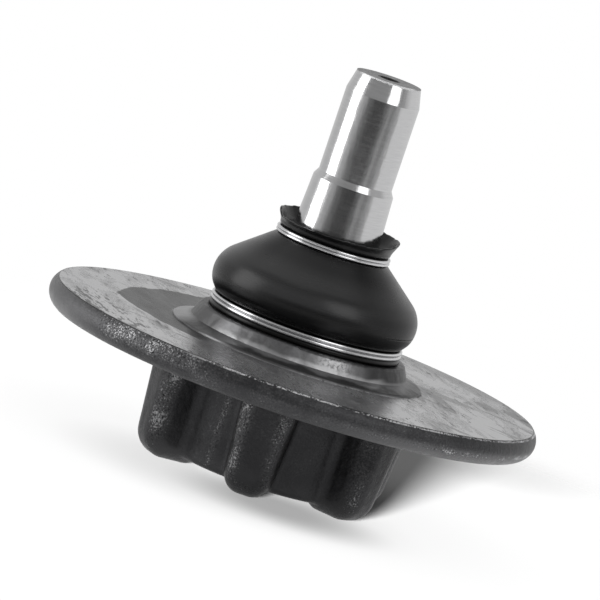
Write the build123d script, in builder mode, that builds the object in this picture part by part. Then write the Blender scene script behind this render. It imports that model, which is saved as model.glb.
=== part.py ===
from build123d import *
import os
from math import acos, asin, cos, degrees, radians, sin, sqrt, tan

# A suspension ball joint, upright: +Z runs up the stud, and z = 0 is the plane of the six rib feet.
# Every length is in millimetres and every angle in degrees.

# --- flange of the housing ---------------------------------------------------------------------
FLANGE_TOP_Z = 32.0            # height of the flange's top face above the rib feet
FLANGE_THICKNESS = 6.3
FLANGE_RIM_RADIUS = 60.3       # the widest point of the bulged rim
FLANGE_RIM_DROP = 2.9          # depth of that widest point below the top face
FLANGE_EDGE_INSET = 1.3        # from the rim in to where the flat top face ends
FLANGE_UNDERSIDE_INSET = 2.0   # the same on the underside

# --- boss on the flange ------------------------------------------------------------------------
STEP_WIDTH = 4.2               # the low step round the boss
STEP_HEIGHT = 0.55
BOSS_FOOT_HEIGHT = 1.6         # the step's top rises this high where it meets the boss wall
BOSS_HEIGHT = 5.0
BOSS_FLARE = 1.6               # how much wider the boss wall is at its foot
BOSS_LEDGE = 4.3               # width of the boss top round the collar
BOSS_EDGE_FILLET = 0.9

# --- collar that the boot grips ----------------------------------------------------------------
COLLAR_WALL = 6.1              # round the socket's mouth
COLLAR_HEIGHT = 5.6            # above the boss top
GROOVE_DEPTH = 0.9
GROOVE_BASE = 0.5              # height of the groove's lower edge above the boss top
GROOVE_LENGTH = 3.0

# --- socket body and its ribs ------------------------------------------------------------------
BODY_WALL = 3.7                # round the cover, at the rim of the socket
BODY_DRAFT = 3.4
BODY_BASE_Z = 1.8              # the rim of the socket stands this far above the rib feet
BODY_BASE_FILLET = 1.4
RIB_COUNT = 6
RIB_TURN = -93.3               # direction of the first rib about Z
RIB_REACH = 8.8                # from the body to a rib's nose, at the flange's underside
RIB_HALF_WIDTH = 7.0           # at the flange's underside
RIB_DRAFT = 3.8
RIB_TOE_FILLET = 6.2           # the round between a rib's nose and its foot
RIB_HEEL_GAP = 0.8             # from the cover's edge to where a rib's flat foot begins
RIB_HEEL_FILLET = 3.8
RIB_SIDE_FILLET = 4.4
RIB_ROOT_FILLET = 2.6

# --- ball stud, its heights measured from the ball's centre --------------------------------------
BALL_RADIUS = 15.0
NECK_RADIUS = 8.0
NECK_FILLET = 1.2
SHOULDER_HEIGHT = 25.9         # where the neck starts to widen towards the taper
SHOULDER_FILLET = 1.5
TAPER_BASE_HEIGHT = 31.4
TAPER_TOP_HEIGHT = 52.3
TAPER_TOP_RADIUS = 9.85
TAPER_RATIO = 10.0             # length per millimetre of diameter
STEP_CONE_LENGTH = 1.5
SHANK_RADIUS = 9.0
SHANK_LENGTH = 20.4
LEAD_IN_LENGTH = 4.6
LEAD_IN_TOP_RADIUS = 7.9
CENTRE_HOLE_RADIUS = 2.4
CENTRE_PILOT_RADIUS = 1.0
CENTRE_HOLE_DEPTH = 6.0
CENTRE_CONE_ANGLE = 60.0

# --- seats, spring and cover -------------------------------------------------------------------
BALL_CLEARANCE = 0.05          # running fit of the ball in its seats
SEAT_WALL = 3.15
SEAT_BORE_CLEARANCE = 0.05
SEAT_OPENING_ANGLE = 49.0      # from the stud's axis to the upper seat's edge
SEAT_SPLIT_HALF = 0.4          # half the gap between the two seats
SEAT_EDGE_CHAMFER = 0.6
BALL_PROUD = 0.4               # how far the ball reaches below the lower seat
LOWER_SEAT_HOLE_RADIUS = 7.5
SPRING_THICKNESS = 0.9
SPRING_HEIGHT = 1.6
SPRING_HOLE_MARGIN = 1.1       # the spring's hole is this much larger than the seat's
SPRING_EDGE_INSET = 1.6        # and its edge this far inside the seat's
COVER_THICKNESS = 2.1
COVER_LEDGE = 1.35             # the cover rests on a ledge of this width
COVER_CLEARANCE = 0.05
COVER_DISH_INSET = 7.1
COVER_DISH_DEPTH = 0.8
LIP_THICKNESS = 1.5
LIP_OVERLAP = 1.6              # how far the rolled lip reaches under the cover

# --- mouth of the socket -----------------------------------------------------------------------
TILT_LIMIT = 15.0              # how far the stud leans from upright
MOUTH_CLEARANCE = 0.9          # left beside the neck at full lean
MOUTH_EDGE_CHAMFER = 0.5

# --- dust boot, its heights measured from the boss top -------------------------------------------
SOFT_GAP = 0.15                # left between the rubber and what it seals on
BOOT_FOOT_WALL = 2.55
BOOT_FOOT_HEIGHT = 1.1
LOWER_CLIP_WALL = 1.45         # rubber between the collar and the lower clip
BOOT_WAIST_WALL = 1.85         # rubber just above the lower clip
BOOT_BULGE = 2.2               # from the waist out to the widest point
BOOT_MAX_HEIGHT = 8.5
BOOT_SHOULDER_HEIGHT = 13.4
BOOT_NECK_HEIGHT = 21.4        # lower edge of the upper clip's seat
BOOT_BORE_HEIGHT = 20.2        # lower end of the neck's bore
UPPER_CLIP_WALL = 2.4          # rubber between the taper and the upper clip
BOOT_NECK_STEP = 0.45          # the rubber stands this far proud on both sides of the upper clip
LIP_NECK_LENGTH = 0.9
LIP_FLARE = 1.3
LIP_TIP_HEIGHT = 26.9
LIP_TIP_WIDTH = 0.5
LIP_FLOOR_HEIGHT = 24.0
LIP_FLOOR_WIDTH = 1.35
BOOT_WALL = 1.5

# --- wire clips --------------------------------------------------------------------------------
CLIP_TURNS = 2
UPPER_WIRE = 0.9
LOWER_WIRE = 1.0
TURN_OVERLAP = 0.04            # how far neighbouring turns press into each other
CLIP_GAP = 0.1                 # between a wire and the rubber under it
GEOMETRY_MARGIN = 0.05         # tells an edge on a limit from one beside it

# --- seats and socket, worked out from the sizes above, from the rim of the socket upwards --------
COVER_BASE_Z = BODY_BASE_Z + LIP_THICKNESS
COVER_TOP_Z = COVER_BASE_Z + COVER_THICKNESS
LOWER_SEAT_BASE_Z = COVER_TOP_Z + SPRING_HEIGHT
BALL_CENTRE_Z = LOWER_SEAT_BASE_Z + BALL_RADIUS - BALL_PROUD
SEAT_RADIUS = BALL_RADIUS + BALL_CLEARANCE
SEAT_OUTER_RADIUS = SEAT_RADIUS + SEAT_WALL
SEAT_BORE_RADIUS = SEAT_OUTER_RADIUS + SEAT_BORE_CLEARANCE
COVER_RADIUS = SEAT_BORE_RADIUS + COVER_LEDGE
COVER_BORE_RADIUS = COVER_RADIUS + COVER_CLEARANCE
LIP_OPENING_RADIUS = COVER_RADIUS - LIP_OVERLAP

# --- stud ----------------------------------------------------------------------------------------
SHOULDER_BASE_Z = BALL_CENTRE_Z + SHOULDER_HEIGHT
TAPER_BASE_Z = BALL_CENTRE_Z + TAPER_BASE_HEIGHT
TAPER_TOP_Z = BALL_CENTRE_Z + TAPER_TOP_HEIGHT
SHANK_BASE_Z = TAPER_TOP_Z + STEP_CONE_LENGTH
SHANK_TOP_Z = SHANK_BASE_Z + SHANK_LENGTH
STUD_TOP_Z = SHANK_TOP_Z + LEAD_IN_LENGTH


def taper_radius(z):
    """Radius of the stud's slender taper at a height z."""
    return TAPER_TOP_RADIUS + (TAPER_TOP_Z - z) / (2 * TAPER_RATIO)


def mouth_radius(z):
    """Radius that the leaning neck needs at a height z, with its clearance."""
    lean = radians(TILT_LIMIT)
    return (z - BALL_CENTRE_Z) * tan(lean) + NECK_RADIUS / cos(lean) + MOUTH_CLEARANCE


def mouth_edge_angle():
    """Angle from the stud's axis at which the ball's pocket opens into the mouth, in degrees."""
    lean = radians(TILT_LIMIT)
    wall = NECK_RADIUS / cos(lean) + MOUTH_CLEARANCE
    # The pocket's sphere meets the mouth's cone where R sin(a) = R cos(a) tan(lean) + wall.
    return degrees(lean + asin(wall * cos(lean) / SEAT_BORE_RADIUS))


def on_sphere(radius, angle):
    """Point (r, z) of a sphere about the ball's centre, at an angle from the upright axis."""
    return radius * sin(radians(angle)), BALL_CENTRE_Z + radius * cos(radians(angle))


def save(piece, name):
    """Label a finished piece and write it as one STEP file."""
    piece.part.label = name
    export_step(piece.part, f"parts/{name}.step")


# --- housing ---------------------------------------------------------------------------------------
FLANGE_BASE_Z = FLANGE_TOP_Z - FLANGE_THICKNESS
FLANGE_EDGE_RADIUS = FLANGE_RIM_RADIUS - FLANGE_EDGE_INSET
FLANGE_UNDERSIDE_RADIUS = FLANGE_RIM_RADIUS - FLANGE_UNDERSIDE_INSET
BOSS_TOP_Z = FLANGE_TOP_Z + BOSS_HEIGHT
COLLAR_TOP_Z = BOSS_TOP_Z + COLLAR_HEIGHT
COLLAR_RADIUS = mouth_radius(COLLAR_TOP_Z) + COLLAR_WALL
GROOVE_RADIUS = COLLAR_RADIUS - GROOVE_DEPTH
GROOVE_BASE_Z = BOSS_TOP_Z + GROOVE_BASE
GROOVE_TOP_Z = GROOVE_BASE_Z + GROOVE_LENGTH
BOSS_TOP_RADIUS = COLLAR_RADIUS + BOSS_LEDGE
BOSS_FOOT_RADIUS = BOSS_TOP_RADIUS + BOSS_FLARE
STEP_RADIUS = BOSS_FOOT_RADIUS + STEP_WIDTH
BODY_BASE_RADIUS = COVER_BORE_RADIUS + BODY_WALL
BODY_TOP_RADIUS = BODY_BASE_RADIUS + (FLANGE_BASE_Z - BODY_BASE_Z) * tan(radians(BODY_DRAFT))
RIB_HEAD_Z = FLANGE_BASE_Z + FLANGE_THICKNESS / 2
BODY_HEAD_RADIUS = BODY_BASE_RADIUS + (RIB_HEAD_Z - BODY_BASE_Z) * tan(radians(BODY_DRAFT))
RIB_NOSE_RADIUS = BODY_TOP_RADIUS + RIB_REACH
RIB_BASE_RADIUS = RIB_NOSE_RADIUS - FLANGE_BASE_Z * tan(radians(RIB_DRAFT))
RIB_HEEL_RADIUS = COVER_BORE_RADIUS + RIB_HEEL_GAP - RIB_HEEL_FILLET
RIB_BASE_HALF_WIDTH = RIB_HALF_WIDTH - FLANGE_BASE_Z * tan(radians(RIB_DRAFT))
RIB_HEAD_HALF_WIDTH = RIB_HALF_WIDTH + (RIB_HEAD_Z - FLANGE_BASE_Z) * tan(radians(RIB_DRAFT))

os.makedirs("parts", exist_ok=True)

# --- one rib -----------------------------------------------------------------------------------
# The outline lies in a plane through the axis. It runs down the nose, round the toe, along the foot
# and up the heel with no corner left, so that one fillet can follow it all the way on each side.
with BuildPart() as rib:
    with BuildSketch(Plane.XZ) as rib_outline:
        with BuildLine():
            Polyline(
                (RIB_HEEL_RADIUS, RIB_HEAD_Z),
                (RIB_HEEL_RADIUS, 0),
                (RIB_BASE_RADIUS, 0),
                (RIB_NOSE_RADIUS, FLANGE_BASE_Z),
                (RIB_NOSE_RADIUS, RIB_HEAD_Z),
                close=True,
            )
        make_face()
        foot_corners = rib_outline.vertices().group_by(Axis.Y)[0].sort_by(Axis.X)
        fillet(foot_corners[0], RIB_HEEL_FILLET)
        fillet(rib_outline.vertices().group_by(Axis.Y)[0].sort_by(Axis.X)[-1], RIB_TOE_FILLET)
    extrude(amount=2 * RIB_HALF_WIDTH, both=True)
    # Seen along the rib, it narrows towards its foot by the draft on each side.
    with BuildSketch(Plane.YZ):
        with BuildLine():
            Polyline(
                (-RIB_BASE_HALF_WIDTH, 0),
                (RIB_BASE_HALF_WIDTH, 0),
                (RIB_HEAD_HALF_WIDTH, RIB_HEAD_Z),
                (-RIB_HEAD_HALF_WIDTH, RIB_HEAD_Z),
                close=True,
            )
        make_face()
    extrude(amount=2 * RIB_NOSE_RADIUS, mode=Mode.INTERSECT)
    flanks = rib.faces().sort_by(Axis.Y)
    flank_edges = flanks[0].edges() + flanks[-1].edges()
    outer_edges = flank_edges.filter_by(lambda edge: edge.center().X > RIB_HEEL_RADIUS + GEOMETRY_MARGIN)
    side_edges = outer_edges.filter_by(lambda edge: edge.center().Z < RIB_HEAD_Z - GEOMETRY_MARGIN)
    fillet(side_edges, RIB_SIDE_FILLET)

# --- housing -----------------------------------------------------------------------------------
with BuildPart() as housing:
    # The socket body and its ribs come first. Their heads end half way up inside the flange.
    with BuildSketch(Plane.XZ):
        with BuildLine():
            Polyline(
                (0, BODY_BASE_Z),
                (BODY_BASE_RADIUS, BODY_BASE_Z),
                (BODY_HEAD_RADIUS, RIB_HEAD_Z),
                (0, RIB_HEAD_Z),
                close=True,
            )
        make_face()
    revolve(axis=Axis.Z)
    base_edges = housing.edges().filter_by_position(Axis.Z, BODY_BASE_Z, BODY_BASE_Z)
    fillet(base_edges, BODY_BASE_FILLET)
    with PolarLocations(0, RIB_COUNT, start_angle=RIB_TURN):
        add(rib.part)
    # The ribs flow into the body along their long upright joins.
    joins = housing.edges(Select.NEW)
    fillet(joins.filter_by(lambda edge: edge.bounding_box().size.Z > FLANGE_BASE_Z / 2), RIB_ROOT_FILLET)

    # Flange, boss and collar are one turned outline.
    with BuildSketch(Plane.XZ):
        with BuildLine():
            flange_side = ThreePointArc(
                (FLANGE_UNDERSIDE_RADIUS, FLANGE_BASE_Z),
                (FLANGE_RIM_RADIUS, FLANGE_TOP_Z - FLANGE_RIM_DROP),
                (FLANGE_EDGE_RADIUS, FLANGE_TOP_Z),
            )
            Polyline(
                flange_side @ 1,
                (STEP_RADIUS, FLANGE_TOP_Z),
                (STEP_RADIUS - STEP_HEIGHT, FLANGE_TOP_Z + STEP_HEIGHT),
                (BOSS_FOOT_RADIUS, FLANGE_TOP_Z + BOSS_FOOT_HEIGHT),
                (BOSS_TOP_RADIUS, BOSS_TOP_Z),
                (COLLAR_RADIUS, BOSS_TOP_Z),
                (COLLAR_RADIUS, GROOVE_BASE_Z),
                (GROOVE_RADIUS, GROOVE_BASE_Z),
                (GROOVE_RADIUS, GROOVE_TOP_Z),
                (COLLAR_RADIUS, GROOVE_TOP_Z),
                (COLLAR_RADIUS, COLLAR_TOP_Z),
                (0, COLLAR_TOP_Z),
                (0, FLANGE_BASE_Z),
                flange_side @ 0,
            )
        make_face()
    revolve(axis=Axis.Z)
    boss_edges = housing.edges().filter_by_position(Axis.Z, BOSS_TOP_Z, BOSS_TOP_Z)
    fillet(boss_edges.sort_by(SortBy.LENGTH)[-1], BOSS_EDGE_FILLET)

    # The socket, from the bottom: rolled lip, cover seat, bore, the ball's pocket and the leaning mouth.
    mouth_angle = mouth_edge_angle()
    with BuildSketch(Plane.XZ):
        with BuildLine():
            pocket = CenterArc((0, BALL_CENTRE_Z), SEAT_BORE_RADIUS, 0, 90 - mouth_angle)
            Polyline(
                pocket @ 1,
                (mouth_radius(COLLAR_TOP_Z), COLLAR_TOP_Z),
                (0, COLLAR_TOP_Z),
                (0, BODY_BASE_Z),
                (LIP_OPENING_RADIUS, BODY_BASE_Z),
                (LIP_OPENING_RADIUS, COVER_BASE_Z),
                (COVER_BORE_RADIUS, COVER_BASE_Z),
                (COVER_BORE_RADIUS, COVER_TOP_Z),
                (SEAT_BORE_RADIUS, COVER_TOP_Z),
                pocket @ 0,
            )
        make_face()
    revolve(axis=Axis.Z, mode=Mode.SUBTRACT)
    mouth_edges = housing.edges().filter_by_position(Axis.Z, COLLAR_TOP_Z, COLLAR_TOP_Z)
    chamfer(mouth_edges, MOUTH_EDGE_CHAMFER)
save(housing, "housing")

# --- ball stud ---------------------------------------------------------------------------------
neck_join_z = BALL_CENTRE_Z + sqrt(BALL_RADIUS**2 - NECK_RADIUS**2)
with BuildPart() as ball_stud:
    with BuildSketch(Plane.XZ):
        with BuildLine():
            ball = ThreePointArc(
                (0, BALL_CENTRE_Z - BALL_RADIUS), (BALL_RADIUS, BALL_CENTRE_Z), (NECK_RADIUS, neck_join_z)
            )
            Polyline(
                ball @ 1,
                (NECK_RADIUS, SHOULDER_BASE_Z),
                (taper_radius(TAPER_BASE_Z), TAPER_BASE_Z),
                (TAPER_TOP_RADIUS, TAPER_TOP_Z),
                (SHANK_RADIUS, SHANK_BASE_Z),
                (SHANK_RADIUS, SHANK_TOP_Z),
                (LEAD_IN_TOP_RADIUS, STUD_TOP_Z),
                (0, STUD_TOP_Z),
                ball @ 0,
            )
        make_face()
    revolve(axis=Axis.Z)
    fillet(ball_stud.edges().filter_by_position(Axis.Z, neck_join_z, neck_join_z), NECK_FILLET)
    fillet(ball_stud.edges().filter_by_position(Axis.Z, SHOULDER_BASE_Z, SHOULDER_BASE_Z), SHOULDER_FILLET)
    fillet(ball_stud.edges().filter_by_position(Axis.Z, TAPER_BASE_Z, TAPER_BASE_Z), SHOULDER_FILLET)
    # The centre drilling that held the stud while it was turned and ground.
    with Locations((0, 0, STUD_TOP_Z)):
        CounterSinkHole(CENTRE_PILOT_RADIUS, CENTRE_HOLE_RADIUS, CENTRE_HOLE_DEPTH, CENTRE_CONE_ANGLE)
save(ball_stud, "ball_stud")

# --- seats -------------------------------------------------------------------------------------
split_angle = degrees(acos(SEAT_SPLIT_HALF / SEAT_RADIUS))
split_z = BALL_CENTRE_Z + SEAT_SPLIT_HALF
with BuildPart() as upper_seat:
    with BuildSketch(Plane.XZ):
        with BuildLine():
            inner = ThreePointArc(
                (sqrt(SEAT_RADIUS**2 - SEAT_SPLIT_HALF**2), split_z),
                on_sphere(SEAT_RADIUS, (SEAT_OPENING_ANGLE + split_angle) / 2),
                on_sphere(SEAT_RADIUS, SEAT_OPENING_ANGLE),
            )
            outer = ThreePointArc(
                (sqrt(SEAT_OUTER_RADIUS**2 - SEAT_SPLIT_HALF**2), split_z),
                on_sphere(SEAT_OUTER_RADIUS, (SEAT_OPENING_ANGLE + split_angle) / 2),
                on_sphere(SEAT_OUTER_RADIUS, SEAT_OPENING_ANGLE),
            )
            Line(inner @ 0, outer @ 0)
            Line(inner @ 1, outer @ 1)
        make_face()
    revolve(axis=Axis.Z)
save(upper_seat, "upper_seat")

hole_z = BALL_CENTRE_Z - sqrt(SEAT_RADIUS**2 - LOWER_SEAT_HOLE_RADIUS**2)
hole_angle = 180 - degrees(asin(LOWER_SEAT_HOLE_RADIUS / SEAT_RADIUS))
with BuildPart() as lower_seat:
    with BuildSketch(Plane.XZ):
        with BuildLine():
            cup = ThreePointArc(
                (sqrt(SEAT_RADIUS**2 - SEAT_SPLIT_HALF**2), BALL_CENTRE_Z - SEAT_SPLIT_HALF),
                on_sphere(SEAT_RADIUS, (180 - split_angle + hole_angle) / 2),
                (LOWER_SEAT_HOLE_RADIUS, hole_z),
            )
            Polyline(
                cup @ 1,
                (LOWER_SEAT_HOLE_RADIUS, LOWER_SEAT_BASE_Z),
                (SEAT_OUTER_RADIUS, LOWER_SEAT_BASE_Z),
                (SEAT_OUTER_RADIUS, BALL_CENTRE_Z - SEAT_SPLIT_HALF),
                cup @ 0,
            )
        make_face()
    revolve(axis=Axis.Z)
    base_rims = lower_seat.edges().filter_by_position(Axis.Z, LOWER_SEAT_BASE_Z, LOWER_SEAT_BASE_Z)
    chamfer(base_rims.sort_by(SortBy.LENGTH)[-1], SEAT_EDGE_CHAMFER)
save(lower_seat, "lower_seat")

# --- disc spring: a shallow cone between the cover, at its outer edge, and the lower seat --------
spring_outer_radius = SEAT_OUTER_RADIUS - SPRING_EDGE_INSET
spring_inner_radius = LOWER_SEAT_HOLE_RADIUS + SPRING_HOLE_MARGIN
with BuildPart() as disc_spring:
    with BuildSketch(Plane.XZ):
        with BuildLine():
            Polyline(
                (spring_outer_radius, COVER_TOP_Z),
                (spring_outer_radius, COVER_TOP_Z + SPRING_THICKNESS),
                (spring_inner_radius, LOWER_SEAT_BASE_Z),
                (spring_inner_radius, LOWER_SEAT_BASE_Z - SPRING_THICKNESS),
                close=True,
            )
        make_face()
    revolve(axis=Axis.Z)
save(disc_spring, "disc_spring")

# --- closing cover -----------------------------------------------------------------------------
# The dish is pressed outwards, so that the plate clears the ball; its wall slopes at 45 degrees.
dish_radius = COVER_RADIUS - COVER_DISH_INSET
with BuildPart() as closing_cover:
    with BuildSketch(Plane.XZ):
        with BuildLine():
            Polyline(
                (0, COVER_TOP_Z - COVER_DISH_DEPTH),
                (dish_radius, COVER_TOP_Z - COVER_DISH_DEPTH),
                (dish_radius + COVER_DISH_DEPTH, COVER_TOP_Z),
                (COVER_RADIUS, COVER_TOP_Z),
                (COVER_RADIUS, COVER_BASE_Z),
                (dish_radius + COVER_DISH_DEPTH / 2, COVER_BASE_Z),
                (dish_radius - COVER_DISH_DEPTH / 2, COVER_BASE_Z - COVER_DISH_DEPTH),
                (0, COVER_BASE_Z - COVER_DISH_DEPTH),
                close=True,
            )
        make_face()
    revolve(axis=Axis.Z)
save(closing_cover, "closing_cover")

# --- dust boot ---------------------------------------------------------------------------------
lower_clip_length = CLIP_TURNS * LOWER_WIRE - (CLIP_TURNS - 1) * TURN_OVERLAP + 2 * CLIP_GAP
upper_clip_length = CLIP_TURNS * UPPER_WIRE - (CLIP_TURNS - 1) * TURN_OVERLAP + 2 * CLIP_GAP
boot_base_z = BOSS_TOP_Z + SOFT_GAP
foot_top_z = boot_base_z + BOOT_FOOT_HEIGHT
waist_z = foot_top_z + lower_clip_length
neck_z = BOSS_TOP_Z + BOOT_NECK_HEIGHT
lip_base_z = neck_z + upper_clip_length
lip_floor_z = BOSS_TOP_Z + LIP_FLOOR_HEIGHT
lip_tip_z = BOSS_TOP_Z + LIP_TIP_HEIGHT
bore_base_z = BOSS_TOP_Z + BOOT_BORE_HEIGHT
collar_bore = COLLAR_RADIUS + SOFT_GAP
bead_radius = GROOVE_RADIUS + SOFT_GAP
lower_clip_seat = collar_bore + LOWER_CLIP_WALL
waist_radius = collar_bore + BOOT_WAIST_WALL
belly_radius = waist_radius + BOOT_BULGE
upper_clip_seat = taper_radius(neck_z) + SOFT_GAP + UPPER_CLIP_WALL
neck_radius = upper_clip_seat + BOOT_NECK_STEP
with BuildPart() as dust_boot:
    with BuildSketch(Plane.XZ):
        with BuildLine():
            belly = ThreePointArc(
                (waist_radius, waist_z),
                (belly_radius, BOSS_TOP_Z + BOOT_MAX_HEIGHT),
                (waist_radius, BOSS_TOP_Z + BOOT_SHOULDER_HEIGHT),
            )
            inner_belly = ThreePointArc(
                (collar_bore + GEOMETRY_MARGIN, COLLAR_TOP_Z - BOOT_WALL),
                (belly_radius - BOOT_WALL, BOSS_TOP_Z + BOOT_MAX_HEIGHT),
                (waist_radius - BOOT_WALL / 2, BOSS_TOP_Z + BOOT_SHOULDER_HEIGHT - BOOT_WALL / sqrt(2)),
            )
            Polyline(
                belly @ 1,
                (neck_radius, neck_z),
                (upper_clip_seat, neck_z),
                (upper_clip_seat, lip_base_z),
                (neck_radius, lip_base_z),
                (neck_radius, lip_base_z + LIP_NECK_LENGTH),
                (neck_radius + LIP_FLARE, lip_tip_z),
                (neck_radius + LIP_FLARE - LIP_TIP_WIDTH, lip_tip_z),
                (taper_radius(lip_floor_z) + SOFT_GAP + LIP_FLOOR_WIDTH, lip_floor_z),
                (taper_radius(lip_floor_z) + SOFT_GAP, lip_floor_z),
                (taper_radius(bore_base_z) + SOFT_GAP, bore_base_z),
                (neck_radius - BOOT_WALL / 2, bore_base_z),
                inner_belly @ 1,
            )
            Polyline(
                inner_belly @ 0,
                (collar_bore, GROOVE_TOP_Z - SOFT_GAP),
                (bead_radius, GROOVE_TOP_Z - SOFT_GAP),
                (bead_radius, GROOVE_BASE_Z + SOFT_GAP),
                (collar_bore, GROOVE_BASE_Z + SOFT_GAP),
                (collar_bore, boot_base_z),
                (collar_bore + BOOT_FOOT_WALL, boot_base_z),
                (collar_bore + BOOT_FOOT_WALL, foot_top_z),
                (lower_clip_seat, foot_top_z),
                (lower_clip_seat, waist_z),
                belly @ 0,
            )
        make_face()
    revolve(axis=Axis.Z)
save(dust_boot, "dust_boot")

# --- wire clips --------------------------------------------------------------------------------
def wire_clip(seat_radius, seat_z, wire):
    """Turns of spring wire side by side, round a seat that starts at seat_z."""
    centre_radius = seat_radius + CLIP_GAP + wire / 2
    first_z = seat_z + CLIP_GAP + wire / 2
    centres = [(centre_radius, first_z + turn * (wire - TURN_OVERLAP)) for turn in range(CLIP_TURNS)]
    with BuildPart() as clip:
        with BuildSketch(Plane.XZ):
            with Locations(*centres):
                Circle(wire / 2)
        revolve(axis=Axis.Z)
    return clip


save(wire_clip(lower_clip_seat, foot_top_z, LOWER_WIRE), "lower_clip")
save(wire_clip(upper_clip_seat, neck_z, UPPER_WIRE), "upper_clip")
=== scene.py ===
# %% [markdown]
# # A suspension ball joint, dressed for its portrait
#
# The part arrives as a set of solids: a forged housing, a ground stud, two plastic seats, a
# spring, a cover, a rubber boot and two wire clips. The solids are right in size, and they stay
# where they are. What this lesson adds is everything that the eye wants: rubber that looks
# moulded, wire that looks wound, steel that looks forged on one face and turned on the next.
#
# The frame is loaded first, because every new piece is worked out from where a solid already is.

# %% Load the frame
import bpy
import numpy as np
from math import cos, pi, radians, sin, tan
from mathutils import Matrix, Vector


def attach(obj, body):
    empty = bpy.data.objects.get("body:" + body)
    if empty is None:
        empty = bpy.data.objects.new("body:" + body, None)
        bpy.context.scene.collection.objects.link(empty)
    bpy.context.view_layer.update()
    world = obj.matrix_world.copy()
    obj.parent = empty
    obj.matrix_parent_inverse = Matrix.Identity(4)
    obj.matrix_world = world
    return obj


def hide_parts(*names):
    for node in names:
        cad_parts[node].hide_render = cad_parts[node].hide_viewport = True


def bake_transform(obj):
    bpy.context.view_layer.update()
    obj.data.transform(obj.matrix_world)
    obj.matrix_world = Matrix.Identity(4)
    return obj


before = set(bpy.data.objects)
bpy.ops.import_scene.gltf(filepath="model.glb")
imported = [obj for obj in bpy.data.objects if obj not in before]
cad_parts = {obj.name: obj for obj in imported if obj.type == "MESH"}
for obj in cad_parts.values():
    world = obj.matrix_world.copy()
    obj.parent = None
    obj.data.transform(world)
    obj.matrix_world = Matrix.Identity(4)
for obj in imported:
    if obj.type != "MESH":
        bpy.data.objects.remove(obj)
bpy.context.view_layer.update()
MM = 0.001
FLANGE_TOP = 32                     # mm above the lowest point
print("solids:", ", ".join(sorted(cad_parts)))

# %% [markdown]
# ## The camera
#
# A long lens far away keeps the ellipses of the flange clean, as product pictures have them. It
# looks from a little above the flange, and it is rolled, so that the stud leans to the right.
# The aim is turned by a small rotation and not by a lens shift, so other views stay centred.

# %% Camera
ELEVATION, ROLL = radians(8.25), radians(18.68)
FOCAL_PIXELS, IMAGE_SIDE = 8347, 600
SENSOR_WIDTH, DISTANCE, FARTHEST = 36, 1.967, 50        # mm, and metres from the flange's centre
TARGET_OFFSET = (-3.2, -52.6)       # where the flange's centre lies from the middle, in pixels
target = Vector((0, 0, FLANGE_TOP * MM))
back = Vector((0, -cos(ELEVATION), sin(ELEVATION)))
level_up = Vector((0, sin(ELEVATION), cos(ELEVATION)))
right = Vector((1, 0, 0)) * cos(ROLL) + level_up * sin(ROLL)
up = level_up * cos(ROLL) - Vector((1, 0, 0)) * sin(ROLL)
facing = Matrix((right, up, back)).transposed()
seen = Vector((*TARGET_OFFSET, -FOCAL_PIXELS)).normalized()
aim = seen.rotation_difference(Vector((0, 0, -1))).to_matrix()
camera = bpy.data.objects.new("camera", bpy.data.cameras.new("camera"))
camera.data.sensor_width = SENSOR_WIDTH
camera.data.lens = FOCAL_PIXELS / IMAGE_SIDE * SENSOR_WIDTH
camera.data.clip_end = FARTHEST
camera.matrix_world = Matrix.Translation(target + back * DISTANCE) @ (facing @ aim).to_4x4()
bpy.context.scene.collection.objects.link(camera)
bpy.context.scene.camera = camera
print(f"lens {camera.data.lens:.0f} mm, {camera.location.length:.2f} m away")

# %% [markdown]
# ## Surfaces from numbers
#
# Both kinds of new piece here are grids: one direction runs along a profile or a path, the other
# runs round. Two small helpers turn such a grid into a closed mesh. The grid's points are whole
# numpy arrays, so the shape is in the formulas and not in a loop.

# %% Grids into meshes
def quads_of(rows, columns, row_wraps):
    """Corner numbers of every quad on a grid whose columns wrap round: (i, j), (i+1, j),
    (i+1, j+1), (i, j+1), with point (i, j) numbered i * columns + j."""
    i, j = np.meshgrid(np.arange(rows if row_wraps else rows - 1), np.arange(columns), indexing="ij")
    i_next, j_next = (i + 1) % rows, (j + 1) % columns
    corners = (i * columns + j, i_next * columns + j, i_next * columns + j_next, i * columns + j_next)
    return np.stack(corners, axis=-1).reshape(-1, 4)


def mesh_piece(name, points, faces, material):
    """A smooth mesh object at the origin from points in millimetres and its faces."""
    mesh = bpy.data.meshes.new(name)
    mesh.from_pydata(points.reshape(-1, 3) * MM, [], faces)
    mesh.polygons.foreach_set("use_smooth", np.ones(len(mesh.polygons), dtype=bool))
    mesh.materials.append(material)
    piece = bpy.data.objects.new(name, mesh)
    bpy.context.scene.collection.objects.link(piece)
    print(f"{name}: {len(mesh.vertices)} points")
    return piece


print("grids can be made into meshes")

# %% [markdown]
# ## A few words for nodes
#
# A material is a small drawing in numbers, and a finish here is mostly masks: places where
# something is so, from 0 for nowhere to 1 for fully. These helpers say it in words: a fade is the
# edge of a place, times is where two places overlap, most is where either is, and layered lays
# colours over one another.

# %% Nodes and links
def node(tree, kind, **settings):
    """A shader node of that kind. Names in small letters are the node's settings; the others are
    its inputs, with _ for a space, and take a number or another node's output."""
    made = tree.nodes.new(kind)
    for name, value in settings.items():
        if name[0].islower():
            setattr(made, name, value)
    inputs = {socket.name.replace(" ", "_"): socket for socket in made.inputs if socket.enabled}
    for name, value in settings.items():
        if name[0].isupper():
            plug(tree, value, inputs[name])
    return made


def plug(tree, value, socket):
    """Links an output to a socket, or writes a plain value into it."""
    if isinstance(value, bpy.types.NodeSocket):
        tree.links.new(value, socket)
    else:
        socket.default_value = value


def placed(tree, kind, values, numbers, **settings):
    """The node of that kind with its values put into the inputs of those numbers, in order."""
    made = node(tree, kind, **settings)
    for value, number in zip(values, numbers):
        plug(tree, value, made.inputs[number])
    return made.outputs


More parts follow.
